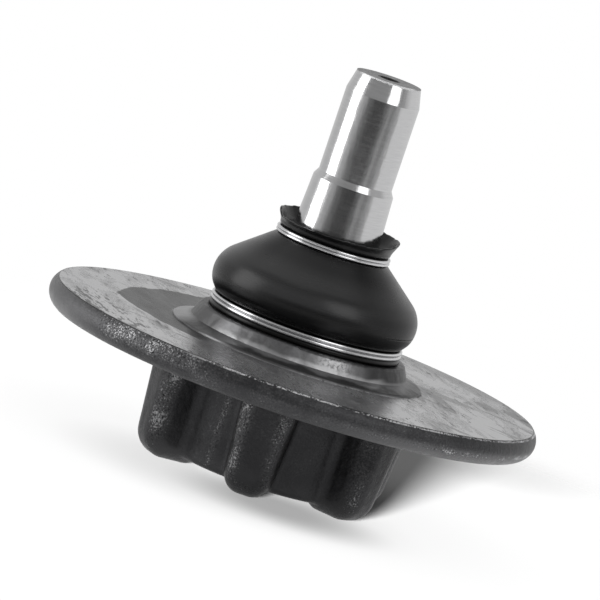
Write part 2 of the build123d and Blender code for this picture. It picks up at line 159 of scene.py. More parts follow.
print("nodes can be made and linked")


# %% Blends and arithmetic
def mixed(tree, factor, first, second):
    """The colour that is first where factor is 0 and second where it is 1."""
    return placed(tree, "ShaderNodeMix", (factor, first, second), (0, 6, 7), data_type="RGBA")[2]


def choose(tree, factor, first, second):
    """The number first where factor is 0 and second where it is 1."""
    return placed(tree, "ShaderNodeMix", (factor, first, second), (0, 2, 3), data_type="FLOAT")[0]


def maths(tree, operation, *values):
    """One Math node; its values are numbers or outputs, in order."""
    return placed(tree, "ShaderNodeMath", values, range(3), operation=operation)[0]


def folded(tree, operation, values):
    """The values taken together by that operation, the first with the second and so on."""
    result = values[0]
    for value in values[1:]:
        result = maths(tree, operation, result, value)
    return result


def times(tree, *values):
    """All the values multiplied; of masks, the places that are in every one."""
    return folded(tree, "MULTIPLY", values)


def plus(tree, *values):
    """The sum of the values."""
    return folded(tree, "ADD", values)


def most(tree, *values):
    """The largest of the values; of masks, the places that are in any one."""
    return folded(tree, "MAXIMUM", values)


def minus(tree, first, second):
    """The first value less the second."""
    return maths(tree, "SUBTRACT", first, second)


def off_from(tree, value, middle):
    """How far the value is from the middle, on either side of it."""
    return maths(tree, "ABSOLUTE", minus(tree, value, middle))


print("colours and numbers can be blended and worked out")


# %% Masks, numbers and colours
def fade(tree, value, start, end):
    """0 before start and 1 after end, or the reverse where end is below start, with a soft s-curve."""
    made = node(tree, "ShaderNodeMapRange", interpolation_type="SMOOTHSTEP")
    for name, number in (("Value", value), ("From Min", min(start, end)), ("From Max", max(start, end)),
                         ("To Min", float(end < start)), ("To Max", float(end > start))):
        plug(tree, number, made.inputs[name])
    return made.outputs["Result"]


def band(tree, value, low_edge, high_edge):
    """1 between two edges. An edge is a pair: where the mask begins, and where it is full."""
    return times(tree, fade(tree, value, *low_edge), fade(tree, value, *high_edge))


def rising(tree, value, start, gain):
    """start + gain * value: a number that grows with the value."""
    return plus(tree, start, times(tree, value, gain))


def wavy(tree, value, by, swing):
    """value + swing * (by - 0.5): the value moved both ways by a noise, so that an edge wavers."""
    return plus(tree, value, times(tree, minus(tree, by, 0.5), swing))


def noise(tree, position, scale, detail, roughness=0.5, distortion=0.0):
    """Noise with about that many grains a millimetre, from 0 to 1."""
    return node(tree, "ShaderNodeTexNoise", Vector=position, Scale=scale, Detail=detail,
                Roughness=roughness, Distortion=distortion).outputs["Fac"]


def grey(tone, blue=None):
    """A grey of that tone, with a blue of its own where it has a trace more of that, as steel has."""
    return (tone, tone, tone if blue is None else blue, 1)


def layered(tree, colour, *layers):
    """The colour with others laid over it in order; each layer is a mask and its colour."""
    for mask, over in layers:
        colour = mixed(tree, mask, colour, over)
    return colour


print("masks, noise, greys and layers are ready")

# %% [markdown]
# ## Patterns that the finishes share
#
# Steel and rubber parts carry a few kinds of mark again and again: rings left by a lathe or a
# wheel, and the pits and flakes of forging scale. Each is a node group, built once and placed in
# every material that needs it with its own numbers. All of them read the piece's own coordinates
# in millimetres, so that a mark keeps its size on the part. The first group is no mark at all:
# it tells how far a place is from the axis, how high it is, and which way it faces.

# %% Round coordinates
def group(name, inputs, outputs):
    """An empty node group with number or vector inputs (their defaults) and named outputs."""
    made = bpy.data.node_groups.new(name, "ShaderNodeTree")
    for title, default in inputs.items():
        kind = "NodeSocketVector" if default is None else "NodeSocketFloat"
        socket = made.interface.new_socket(title, in_out="INPUT", socket_type=kind)
        if default is not None:
            socket.default_value = default
    for title in outputs:
        made.interface.new_socket(title, in_out="OUTPUT", socket_type="NodeSocketFloat")
    return made, made.nodes.new("NodeGroupInput").outputs, made.nodes.new("NodeGroupOutput").inputs


def use(tree, group_tree, **values):
    """Places a group in a material and returns its outputs by name."""
    return node(tree, "ShaderNodeGroup", node_tree=group_tree, **values).outputs


def heading_of(tree, parts):
    """The angle from the front of separated coordinates, in radians, + on the right."""
    return maths(tree, "ARCTAN2", parts["X"], times(tree, parts["Y"], -1))


def flattened(tree, position):
    """The position with its height taken out, so that its length is the distance from the axis."""
    return placed(tree, "ShaderNodeVectorMath", (position, (1, 1, 0)), (0, 1), operation="MULTIPLY")[0]


around, ports, results = group("round coordinates", {"Position": None}, ["Radius", "Height", "Side"])
parts = node(around, "ShaderNodeSeparateXYZ", Vector=ports["Position"]).outputs
flat = flattened(around, ports["Position"])
reach = placed(around, "ShaderNodeVectorMath", (flat,), (0,), operation="LENGTH")["Value"]
plug(around, reach, results["Radius"])
plug(around, parts["Z"], results["Height"])
plug(around, heading_of(around, parts), results["Side"])
print("round coordinates: radius, height, and the angle from the front")

# %% [markdown]
# Turning marks are noise in disguise. The noise is read at a point made of the distance across
# the rings and of the direction round the axis, so it changes fast across and slowly round, and
# it closes on itself after a full turn.

# %% Ring marks
rings, ports, results = group(
    "ring marks", {"Position": None, "Across": 0.0, "Round": 1.0, "Detail": 2.0}, ["Value"])
flat = flattened(rings, ports["Position"])
direction = placed(rings, "ShaderNodeVectorMath", (flat,), (0,), operation="NORMALIZE")[0]
wound = node(rings, "ShaderNodeVectorMath", operation="SCALE")
plug(rings, direction, wound.inputs[0])
plug(rings, ports["Round"], wound.inputs["Scale"])
wound = node(rings, "ShaderNodeSeparateXYZ", Vector=wound.outputs[0]).outputs
place = node(rings, "ShaderNodeCombineXYZ", X=wound["X"], Y=wound["Y"], Z=ports["Across"]).outputs[0]
plug(rings, noise(rings, place, scale=1.0, detail=ports["Detail"], roughness=0.6), results["Value"])
print("ring marks: noise read across and round")


def ring_marks(tree, position, along, per_mm, round_axis, detail):
    """About per_mm ring marks a millimetre along the radius or the height. The larger round_axis
    is, the more they change on their way round."""
    return use(tree, rings, Position=position, Across=times(tree, along, per_mm), Round=round_axis,
               Detail=detail)["Value"]


# %% [markdown]
# Forging leaves an orange-peel skin, and the scale on it breaks up into crumbs that catch the
# light. The peel is soft noise for the bump. The crumbs are the high parts of a finer noise, and
# its lowest parts are the pits where a crumb has fallen out. A wide noise lets the crumbs crowd
# together in some places and leaves others bare, because scale comes off in patches and never as
# an even sprinkle.

# %% Forging scale
SPECKS_ABOVE, MOTTLE_ABOVE, PITS_BELOW = (0.70, 0.77), (0.40, 0.74), (0.42, 0.34)
CROWDING, WORN_CROWDING = 0.55, 0.14
scale_skin, ports, results = group("forging scale", {"Position": None, "Crumbs": 1.1, "Wear": 0.0},
                                   ["Height", "Speck", "Pit", "Cloud", "Mottle"])
tree, position = scale_skin, ports["Position"]
patch = noise(tree, position, scale=0.17, detail=2.0)
crumbs = noise(tree, position, scale=ports["Crumbs"], detail=2.0, roughness=0.7)
crowd = times(tree, minus(tree, patch, 0.5), CROWDING)
level = plus(tree, crumbs, plus(tree, crowd, times(tree, ports["Wear"], WORN_CROWDING)))
plug(tree, fade(tree, level, *SPECKS_ABOVE), results["Speck"])
plug(tree, fade(tree, level, *MOTTLE_ABOVE), results["Mottle"])
plug(tree, fade(tree, crumbs, *PITS_BELOW), results["Pit"])
plug(tree, noise(tree, position, scale=0.6, detail=5.0, roughness=0.7), results["Height"])
plug(tree, noise(tree, position, scale=0.075, detail=3.0), results["Cloud"])
print("forging scale: peel, crumbs, pits and clouds")


# %% A material to start from
def finish(name, **constants):
    """A material whose shader has those constants, with its tree, its shader and a position in
    millimetres from the piece's own coordinates."""
    material = bpy.data.materials.new(name)
    material.use_nodes = True
    tree = material.node_tree
    shader = tree.nodes["Principled BSDF"]
    for title, value in constants.items():
        shader.inputs[title.replace("_", " ")].default_value = value
    coordinates = node(tree, "ShaderNodeTexCoord").outputs["Object"]
    position = node(tree, "ShaderNodeMapping", Vector=coordinates, Scale=(1000, 1000, 1000)).outputs[0]
    return material, tree, shader.inputs, position


def bump(tree, height, depth, under=None, strength=1.0):
    """A Bump node: height 0 to 1 stands for that depth in millimetres. under is the bump it adds to."""
    made = node(tree, "ShaderNodeBump", Height=height, Distance=depth * MM, Strength=strength)
    if under is not None:
        plug(tree, under, made.inputs["Normal"])
    return made.outputs["Normal"]


print("finishes can be started")

# %% [markdown]
# ## Forged and turned steel
#
# The housing is one forging, and only its flange has been on a lathe. Below the flange's edge the
# skin is dark and crumbly. Hands and bins have worn the rim, which is also paler at its left end and
# along its foot on the right. The ribs are paler at their toes, and the body towards its foot. The
# corners of the rib noses carry painted glints, more on the left, where the light falls, a painted
# highlight runs in a streak beside a root, and the rib on the right is painted in shade. Where each
# finish begins is a height, a radius or a direction on the part, so one material holds them all, and
# its masks run along the real edges.

# %% Where each finish lies on the housing
housing_steel, tree, shader, position = finish("forged_steel", Specular_IOR_Level=0.055)
coords = use(tree, around, Position=position)
radius, height, side = coords["Radius"], coords["Height"], coords["Side"]
# A pair of numbers is an edge: where a mask begins and where it is full. It is in millimetres of
# height or radius, or in radians round from the front, + on the right.
LEFT_HALF, RIGHT_HALF = (-3.05, -2.5), (3.05, 2.5)               # both clear at the back
UPPER_SIDE, OUTSIDE_BOSS = (31.7, 31.95), (30.6, 31.3)
RIM_HEIGHT, RIM_RADIUS = (24.8, 26.2), (57.0, 59.0)
on_left, on_right = fade(tree, side, *LEFT_HALF), fade(tree, side, *RIGHT_HALF)
upper_side = fade(tree, height, *UPPER_SIDE)
turned = times(tree, upper_side, fade(tree, radius, *OUTSIDE_BOSS))
rim = times(tree, fade(tree, height, *RIM_HEIGHT), fade(tree, radius, *RIM_RADIUS))
print("housing: its forged, turned, boss and rim skins are told apart by height and radius")

# %% Painted glints and painted shade on the ribs, and their paler feet
RIB_DIRECTION, RIB_PITCH = radians(-3.3), radians(60)            # the first rib, and from rib to rib
NOSE_CORNER, NOSE_RADIUS = ((1.6, 4.4), (9.6, 6.6)), (28.0, 32.5)
TOE_HEIGHT, BELOW_FLANGE = (5.5, 2.0), (26.0, 24.0)
CORNER_GLINT_SHARE, MORE_ON_LEFT, LESS_ON_SHADED_RIB = 0.9, 0.35, 0.6
PALER_FOOT_HEIGHT, FOOT_PALENESS = (9.0, 2.0), 0.5
LEFT_RIBS = (-0.05, -0.2)
SHADED_RIB_SIDE, SHADED_RIB_HEIGHT = ((0.70, 0.82), (1.6, 1.4)), (8.0, 13.0)  # the one on the right, painted in shade and with fewer painted glints
ROOT_ACROSS, ROOT_HEIGHT = ((8.6, 10.2), (12.2, 10.6)), (24.0, 20.0)
ROOT_SIDE = (-0.66, -0.52), (-0.10, -0.25)
from_rib = maths(tree, "PINGPONG", minus(tree, side, RIB_DIRECTION), RIB_PITCH / 2)
across_rib = times(tree, radius, maths(tree, "SINE", from_rib))  # mm from the nearest rib's middle
# Painted shade: the rib on the right is painted darker, and gets fewer painted glints.
shaded_rib = times(tree, band(tree, side, *SHADED_RIB_SIDE), fade(tree, height, *SHADED_RIB_HEIGHT))
# Painted glints on both corners of each rib's nose, more on the left ribs, where the light falls; the toes
# are paler too.
rib_glint_share = rising(tree, fade(tree, side, *LEFT_RIBS), start=CORNER_GLINT_SHARE, gain=MORE_ON_LEFT)
rib_glint_share = minus(tree, rib_glint_share, times(tree, shaded_rib, LESS_ON_SHADED_RIB))
rib_glints_and_toes = most(tree, band(tree, across_rib, *NOSE_CORNER), fade(tree, height, *TOE_HEIGHT))
rib_glints_and_toes = times(tree, rib_glints_and_toes, fade(tree, radius, *NOSE_RADIUS), fade(tree, height, *BELOW_FLANGE),
                    rib_glint_share)
# Painted highlight: a lighter, speckled streak beside a root, left of the front.
root_highlight = times(tree, band(tree, across_rib, *ROOT_ACROSS), band(tree, side, *ROOT_SIDE),
                    fade(tree, height, *ROOT_HEIGHT))
# Paler towards the foot.
paler_foot = times(tree, fade(tree, height, *PALER_FOOT_HEIGHT), FOOT_PALENESS)
print("ribs: worn on both corners of a nose, at the toe, and in a streak beside the root")

# %% Where the rim is worn
CRUMBLY_SIDE, CRUMBLY_HEIGHT = ((-0.98, -0.80), (-0.25, -0.50)), (26.6, 29.2)
FOOT_HEIGHT, FOOT_SIDE, CHIPPED_HEIGHT = (29.4, 27.6), (0.0, 0.85), (26.9, 27.7)
RIM_LEFT_END = (-0.70, -1.15)
EVEN_WEAR, CROWDED_WEAR, ROOT_HIGHLIGHT_SHARE = 0.08, 0.82, 0.8
rim_side = times(tree, band(tree, side, *CRUMBLY_SIDE), fade(tree, height, *CRUMBLY_HEIGHT))
rim_foot = times(tree, fade(tree, height, *FOOT_HEIGHT), fade(tree, side, *FOOT_SIDE), on_right)
rim_chips = times(tree, rim_foot, fade(tree, height, *CHIPPED_HEIGHT))
rim_wear = rising(tree, most(tree, rim_side, rim_chips), start=EVEN_WEAR, gain=CROWDED_WEAR)
rim_wear = times(tree, rim, rim_wear)
rim_pale = times(tree, rim, most(tree, times(tree, fade(tree, side, *RIM_LEFT_END), on_left), rim_foot))
# Wear on the rim, together with the painted glints and the painted highlight of the ribs.
wear_and_glints = most(tree, rim_wear, rib_glints_and_toes, times(tree, root_highlight, ROOT_HIGHLIGHT_SHARE))
print("rim: crumbly and then paler towards the left, chipped and pale along its foot on the right")

# %% Forged skin
DARK_SKIN, LIGHT_SKIN, SHADED_RIB_SKIN = grey(0.024, 0.025), grey(0.043, 0.045), grey(0.012, 0.0125)
RIM_SKIN, PALE_RIM = grey(0.048, 0.050), grey(0.135, 0.138)
PALE_AND_GLINTING_BODY, WORN_RIM = grey(0.080, 0.082), grey(0.12, 0.123)
RIB_SHADE_SHARE = 0.6
PIT, BODY_GLINT_SPECK, RIM_SPECK = grey(0.010, 0.0105), grey(0.34, 0.345), grey(0.56, 0.57)
skin = use(tree, scale_skin, Position=position, Crumbs=2.3, Wear=wear_and_glints)
mottled = times(tree, skin["Mottle"], rising(tree, wear_and_glints, start=0.40, gain=0.6))
specked = times(tree, skin["Speck"], rising(tree, wear_and_glints, start=0.08, gain=0.8))
worn_and_glinting_grey = mixed(tree, rim, PALE_AND_GLINTING_BODY, WORN_RIM)
# On the body the paler grey and the specks carry the painted glints and the painted highlight, and the paler
# grey also the paler foot; on the rim they are wear.
forged_grey = layered(tree, mixed(tree, skin["Cloud"], DARK_SKIN, LIGHT_SKIN),
                      (times(tree, shaded_rib, RIB_SHADE_SHARE), SHADED_RIB_SKIN), (rim, RIM_SKIN), (rim_pale, PALE_RIM),
                      (most(tree, mottled, paler_foot), worn_and_glinting_grey), (times(tree, skin["Pit"], wear_and_glints), PIT),
                      (specked, mixed(tree, rim, BODY_GLINT_SPECK, RIM_SPECK)))
rough_forged = rising(tree, skin["Mottle"], start=0.36, gain=0.16)
print("forged skin: clouds, wear, pits and specks, in that order")

# %% [markdown]
# The flange's top is bright and has rings, but years of handling lie on them. Smears of dried
# film have been wiped one way and drawn another, so their noise is stretched along two
# directions, and each film ends in a thin dark outline. Small tears run the way of the wiping
# and are thickest near the edge on the left. Beside the boss, on the left, a flat, dark patch
# with a clear edge is a painted reflection of the boot. Bare metal is metallic, and the film and the
# painted reflection are not, so the same masks that darken the colour also take the metal away.

# %% Noises of the turned face
WIPED_TURN, WIPED_LENGTH, DRAWN_TURN, DRAWN_LENGTH = radians(18), 3.6, radians(62), 5


def stretched(tree, position, turn, length):
    """The position turned about the axis and stretched, so that noise on it runs in long marks."""
    return node(tree, "ShaderNodeMapping", vector_type="TEXTURE", Vector=position,
                Rotation=(0, 0, turn), Scale=(1, length, 1)).outputs[0]


wiped = stretched(tree, position, WIPED_TURN, WIPED_LENGTH)
drawn = stretched(tree, position, DRAWN_TURN, DRAWN_LENGTH)
blotches = noise(tree, wiped, scale=0.17, detail=5.0, roughness=0.65)
tears = noise(tree, wiped, scale=0.9, detail=3.0, roughness=0.6)
smear_shapes = noise(tree, wiped, scale=0.17, detail=7.0, roughness=0.66, distortion=0.5)
long_smears = noise(tree, drawn, scale=0.24, detail=6.0, roughness=0.65)
print("two directions of smearing and four noises on them")

# %% Tears, smears and their outlines
TORN_RADIUS, TORN_SIDE, TORN_ABOVE = (45.0, 51.0), ((-1.45, -1.2), (-0.5, -0.8)), (0.87, 0.96)
TORN_WITH_BLOTCHES, TORN_NEAR_EDGE = 0.5, 0.16
SMEARED_SIDE, SMEARED_MORE = (-0.6, 1.6), 0.03
OUTLINE_AT, OUTLINE_WIDTH = 0.53, (0.009, 0.003)
SOFT_WIPED, SOFT_DRAWN, CRISP = (0.48, 0.66), (0.54, 0.68), (0.60, 0.63)
SOFT_SHARE, CRISP_SHARE = 0.8, 1.3
torn_edge = times(tree, fade(tree, radius, *TORN_RADIUS), band(tree, side, *TORN_SIDE))
torn = plus(tree, tears, times(tree, blotches, TORN_WITH_BLOTCHES), times(tree, torn_edge, TORN_NEAR_EDGE))
torn = fade(tree, torn, *TORN_ABOVE)
more_right = times(tree, fade(tree, side, *SMEARED_SIDE), times(tree, on_right, SMEARED_MORE))
smear_shapes = plus(tree, smear_shapes, more_right)
film_edge = fade(tree, off_from(tree, smear_shapes, OUTLINE_AT), *OUTLINE_WIDTH)
soft = most(tree, fade(tree, smear_shapes, *SOFT_WIPED), fade(tree, long_smears, *SOFT_DRAWN))
crisp = most(tree, fade(tree, long_smears, *CRISP), fade(tree, smear_shapes, *CRISP))
smears = most(tree, times(tree, soft, SOFT_SHARE), times(tree, crisp, CRISP_SHARE), film_edge)
print("smears: soft ones, crisp ones and their outlines")

# %% A long streak, a film at the far edge and the painted reflection of the boot
STREAK_SLOPE, STREAK_AT, STREAK_WAVE, STREAK_WIDTH = 0.41, 22.9, 14.0, (3.4, 1.6)
STREAK_ENDS = (28.5, 30.0), (50.0, 40.0)
FAR_RADIUS, FAR_SIDE, FAR_SHARE = (51.0, 53.0), ((1.9, 2.2), (2.95, 2.6)), 0.8
REFLECTION_RADIUS, REFLECTION_PULL, REFLECTION_WAVE, REFLECTION_EDGE = 45.0, 7.0, 4.0, (0.0, 0.6)
REFLECTION_SIDE, REFLECTION_PULLED = ((-2.9, -2.6), (-0.42, -0.72)), (-1.75, -0.75)
flat_parts = node(tree, "ShaderNodeSeparateXYZ", Vector=position).outputs
streak_line = plus(tree, times(tree, flat_parts["X"], STREAK_SLOPE), flat_parts["Y"])
streak_line = wavy(tree, streak_line, by=long_smears, swing=STREAK_WAVE)
streak = times(tree, fade(tree, off_from(tree, streak_line, STREAK_AT), *STREAK_WIDTH),
               band(tree, flat_parts["X"], *STREAK_ENDS))
far_film = times(tree, fade(tree, radius, *FAR_RADIUS), band(tree, side, *FAR_SIDE))
smears = most(tree, smears, streak, times(tree, far_film, FAR_SHARE))
# Painted reflection of the boot: a flat dark patch inside a wavy radius, on the left of the boss.
reflection_edge = minus(tree, REFLECTION_RADIUS, times(tree, fade(tree, side, *REFLECTION_PULLED), REFLECTION_PULL))
reflection_edge = wavy(tree, reflection_edge, by=blotches, swing=REFLECTION_WAVE)
boot_reflection = times(tree, fade(tree, minus(tree, reflection_edge, radius), *REFLECTION_EDGE), band(tree, side, *REFLECTION_SIDE))
print("stain: inside a wavy radius on the left of the boss")

# %% Turned face
DARK_TURNED, LIGHT_TURNED, SMEAR = grey(0.34, 0.345), grey(0.60, 0.61), grey(0.24, 0.244)
TEAR, BOOT_REFLECTION_GREY, EDGE, CHIP = grey(0.06, 0.062), grey(0.036, 0.037), grey(0.04, 0.041), grey(0.66, 0.67)
EDGE_RADIUS, CORNER_RADIUS, CORNER_HEIGHT = (58.75, 58.95), (58.9, 59.1), ((31.50, 31.62), (31.95, 31.87))
CORNER_SIDE, CHIPS_ABOVE = (-0.48, -0.24), (0.12, 0.50)
DULL_SMEAR, DULL_TEAR, DULL_OUTLINE = 0.45, 0.8, 0.6
fine_rings = ring_marks(tree, position, radius, per_mm=2.6, round_axis=1.2, detail=3.0)
edge = fade(tree, radius, *EDGE_RADIUS)
turned_grey = layered(tree, mixed(tree, blotches, DARK_TURNED, LIGHT_TURNED),
                      (smears, SMEAR), (torn, TEAR), (boot_reflection, BOOT_REFLECTION_GREY), (edge, EDGE))
corner = times(tree, band(tree, height, *CORNER_HEIGHT), fade(tree, radius, *CORNER_RADIUS),
               fade(tree, side, *CORNER_SIDE), on_right)
chips = times(tree, corner, fade(tree, skin["Mottle"], *CHIPS_ABOVE))
dulled = most(tree, times(tree, smears, DULL_SMEAR), times(tree, torn, DULL_TEAR),
              times(tree, film_edge, DULL_OUTLINE), boot_reflection, minus(tree, edge, chips))
rough_turned = rising(tree, blotches, start=0.15, gain=0.22)
print("turned face: rings, film, and bright chips along its corner")

# %% [markdown]
# The boss was never turned. It keeps a satin, wavy skin, and light is painted into its colour: a
# painted highlight along the crease where its wall meets its foot, at the left end of its foot and
# in one spot near the front, and painted shade on its flanks and where the foot runs out. The waves
# shift most of those edges up and down, so that they don't run ruler straight.

# %% Boss skin
DARK_BOSS, LIGHT_BOSS, BOSS_HIGHLIGHT = grey(0.10, 0.102), grey(0.22, 0.224), grey(0.42, 0.425)
LEFT_SHADE_TONE, RIGHT_SHADE_TONE = grey(0.11, 0.111), grey(0.055, 0.056)
LIT_TONE, FOOT_SHADE_TONE = grey(0.36, 0.365), grey(0.075, 0.076)
HIGHLIGHT_AT, HIGHLIGHT_WIDTH, HIGHLIGHT_GRAIN = 0.37, (0.22, 0.04), (0.36, 0.60)
LEFT_SIDE, RIGHT_SIDE, RIGHT_HEIGHT = (-0.72, -0.90), ((0.62, 0.80), (1.7, 1.4)), (33.8, 34.4)
LIT_HEIGHT, LIT_SIDE = (34.8, 33.9), ((-0.9, -0.5), (1.05, 0.75))
FOOT_SHADE_HEIGHT, FOOT_SHADE_SIDE = (33.3, 32.7), (-0.75, -0.45)
LIT_FOOT_HEIGHT, LIT_FOOT_SIDE = (33.9, 33.2), (-1.05, -1.35)
boss_grain = noise(tree, position, scale=1.6, detail=4.0, roughness=0.7)
boss_waves = noise(tree, position, scale=0.13, detail=2.0)
wavy_height = wavy(tree, height, by=boss_waves, swing=2.0)
# Painted highlight: a bright, grainy spot near the front, where the right lamp's reflection falls.
boss_highlight = times(tree, fade(tree, off_from(tree, side, HIGHLIGHT_AT), *HIGHLIGHT_WIDTH),
               fade(tree, boss_grain, *HIGHLIGHT_GRAIN))
# Painted shade on the left flank and on the right flank of the cone, a painted highlight along the crease and
# at the left end of the foot, and painted shade on the foot from the front round to the right.
left_shade = times(tree, fade(tree, side, *LEFT_SIDE), on_left)
right_shade = times(tree, band(tree, side, *RIGHT_SIDE), fade(tree, height, *RIGHT_HEIGHT))
lit_root = times(tree, fade(tree, wavy_height, *LIT_HEIGHT), band(tree, side, *LIT_SIDE))
shaded_foot = times(tree, fade(tree, wavy_height, *FOOT_SHADE_HEIGHT), fade(tree, side, *FOOT_SHADE_SIDE), on_right)
lit_foot = times(tree, fade(tree, height, *LIT_FOOT_HEIGHT), fade(tree, side, *LIT_FOOT_SIDE), on_left)
boss_grey = layered(tree, mixed(tree, boss_grain, DARK_BOSS, LIGHT_BOSS),
                    (boss_highlight, BOSS_HIGHLIGHT), (left_shade, LEFT_SHADE_TONE), (right_shade, RIGHT_SHADE_TONE),
                    (lit_root, LIT_TONE), (shaded_foot, FOOT_SHADE_TONE), (lit_foot, LIT_TONE))
rough_boss = rising(tree, boss_grain, start=0.30, gain=0.24)
print("boss skin: satin, with a lit crease and a dark foot")

# %% All the housing's finishes together
PEEL_DEPTH, CRUMB_DEPTH, WAVE_DEPTH, GRAIN_DEPTH, RING_DEPTH = 0.28, 0.25, 1.0, 0.05, 0.02      # mm
TEAR_IN_RINGS = 3.0                 # a tear is as deep as that many rings
upper_grey = mixed(tree, turned, boss_grey, turned_grey)
housing_grey = mixed(tree, upper_side, forged_grey, upper_grey)
plug(tree, mixed(tree, chips, housing_grey, CHIP), shader["Base Color"])
rough_upper = choose(tree, turned, rough_boss, rough_turned)
plug(tree, choose(tree, upper_side, rough_forged, rough_upper), shader["Roughness"])
plug(tree, minus(tree, 1.0, times(tree, turned, dulled)), shader["Metallic"])
below, on_boss = minus(tree, 1.0, upper_side), minus(tree, upper_side, turned)
normal = bump(tree, times(tree, skin["Height"], below), PEEL_DEPTH)
normal = bump(tree, times(tree, skin["Speck"], times(tree, wear_and_glints, below)), CRUMB_DEPTH, normal)
normal = bump(tree, times(tree, boss_waves, on_boss), WAVE_DEPTH, normal)
normal = bump(tree, times(tree, boss_grain, on_boss), GRAIN_DEPTH, normal)
lathe_marks = plus(tree, fine_rings, times(tree, tears, TEAR_IN_RINGS))
plug(tree, bump(tree, times(tree, lathe_marks, turned), RING_DEPTH, normal, strength=0.6), shader["Normal"])
print("housing finish:", len(tree.nodes), "nodes")

# %% [markdown]
# ## Ground steel
#
# The stud is ground on its taper and turned on its shank, so it is bright, and what it shows is
# mostly the room. The rings are fine and shallow: enough to break up the reflections, never
# enough to dull them. A slow waviness round the axis keeps the edges of the reflected lamps from
# being ruler straight. The top face is only sawn and centre-drilled, so it is dull and grey. The
# inside of its centre hole is painted shade, and the saw has left a ragged burr along its edge,
# painted bright in front as a painted highlight.

# %% Stud finish
DARK_GROUND, LIGHT_GROUND = grey(0.54, 0.545), grey(0.68, 0.685)
DARK_SAWN_AND_HOLE_SHADE, LIGHT_SAWN, BURR_HIGHLIGHT = grey(0.03, 0.031), grey(0.50, 0.505), grey(0.85, 0.86)
TOP_HEIGHT, HOLE_RADIUS, HOLE_HEIGHT = (100.2, 100.35), (2.95, 2.65), (93.0, 94.5)
BURR_HEIGHT, BURR_RADIUS, BURR_SIDE, BURR_RAGGED = (100.08, 100.16), (7.0, 7.2), (1.2, 0.8), 1.4
RING_DEPTH, WAVE_DEPTH, SAW_DEPTH, SAWN_DULL = 0.005, 0.045, 0.06, 0.75
stud_steel, tree, shader, position = finish("ground_steel", Specular_IOR_Level=0.2)
coords = use(tree, around, Position=position)
radius, height, side = coords["Radius"], coords["Height"], coords["Side"]
fine_rings = ring_marks(tree, position, height, per_mm=4.0, round_axis=1.5, detail=3.0)
waves = ring_marks(tree, position, height, per_mm=0.16, round_axis=5.0, detail=2.0)
saw_marks = noise(tree, position, scale=0.9, detail=4.0, roughness=0.7)
in_hole = times(tree, fade(tree, radius, *HOLE_RADIUS), fade(tree, height, *HOLE_HEIGHT))
ragged_height = wavy(tree, height, by=saw_marks, swing=BURR_RAGGED)
burr = times(tree, fade(tree, ragged_height, *BURR_HEIGHT), fade(tree, radius, *BURR_RADIUS),
             fade(tree, maths(tree, "ABSOLUTE", side), *BURR_SIDE))
sawn = most(tree, burr, fade(tree, height, *TOP_HEIGHT), in_hole)
steel_grey = mixed(tree, fine_rings, DARK_GROUND, LIGHT_GROUND)
# Inside the centre hole the colour is painted shade, and the burr's bright grey is a painted highlight along
# the front.
sawn_grey = layered(tree, mixed(tree, saw_marks, DARK_SAWN_AND_HOLE_SHADE, LIGHT_SAWN),
                    (burr, BURR_HIGHLIGHT), (in_hole, DARK_SAWN_AND_HOLE_SHADE))
plug(tree, mixed(tree, sawn, steel_grey, sawn_grey), shader["Base Color"])
plug(tree, minus(tree, 1.0, times(tree, sawn, SAWN_DULL)), shader["Metallic"])
rough_steel = rising(tree, fine_rings, start=0.11, gain=0.10)
plug(tree, rising(tree, sawn, start=rough_steel, gain=0.3), shader["Roughness"])
normal = bump(tree, waves, WAVE_DEPTH, bump(tree, fine_rings, RING_DEPTH))
plug(tree, bump(tree, times(tree, saw_marks, sawn), SAW_DEPTH, normal), shader["Normal"])
print("stud finish:", len(tree.nodes), "nodes")

# %% [markdown]
# ## Rubber, wire, plastic and the hidden parts
#
# The boot is black synthetic rubber with a satin skin from its mould. It is deepest black round
# its neck and, as painted shade, in the lap under its belly; a painted sheen makes it a little greyer
# on its shoulder and in a band across the front of the belly, and a faint crease shows where the
# belly has been squeezed. The wire is bright spring steel. The parts inside are dressed as well,
# because a section or an exploded view shows them.

# %% Boot finish
DARK_RUBBER, LIGHT_RUBBER, DEEP_RUBBER = grey(0.005, 0.0054), grey(0.011, 0.0115), grey(0.002, 0.0022)
BELLY_SHEEN_RUBBER, SHOULDER_SHEEN_RUBBER = grey(0.038, 0.039), grey(0.030, 0.0305)
UNDER_BELLY, ABOVE_CLIP = (46.0, 45.0), (59.5, 60.2)
BELLY_SHEEN_HEIGHT, BELLY_SHEEN_SIDE = ((45.6, 47.0), (53.0, 49.0)), (0.9, 0.3)
SHOULDER_HEIGHT = (47.5, 50.0), (56.0, 52.0)
CREASE_HEIGHT, CREASE_SIDE = ((43.9, 44.15), (44.4, 44.15)), ((0.85, 1.15), (2.0, 1.7))
SKIN_DEPTH, CREASE_DEPTH = 0.02, 0.08
boot_rubber, tree, shader, position = finish("boot_rubber", Specular_IOR_Level=0.26)
coords = use(tree, around, Position=position)
height, side = coords["Height"], coords["Side"]
# Painted shade under the belly, where it is deepest black; the same black above the upper clip.
deep = most(tree, fade(tree, height, *UNDER_BELLY), fade(tree, height, *ABOVE_CLIP))
# Painted sheen: a greyer band across the front of the belly.
belly_sheen = times(tree, band(tree, height, *BELLY_SHEEN_HEIGHT), fade(tree, maths(tree, "ABSOLUTE", side), *BELLY_SHEEN_SIDE))
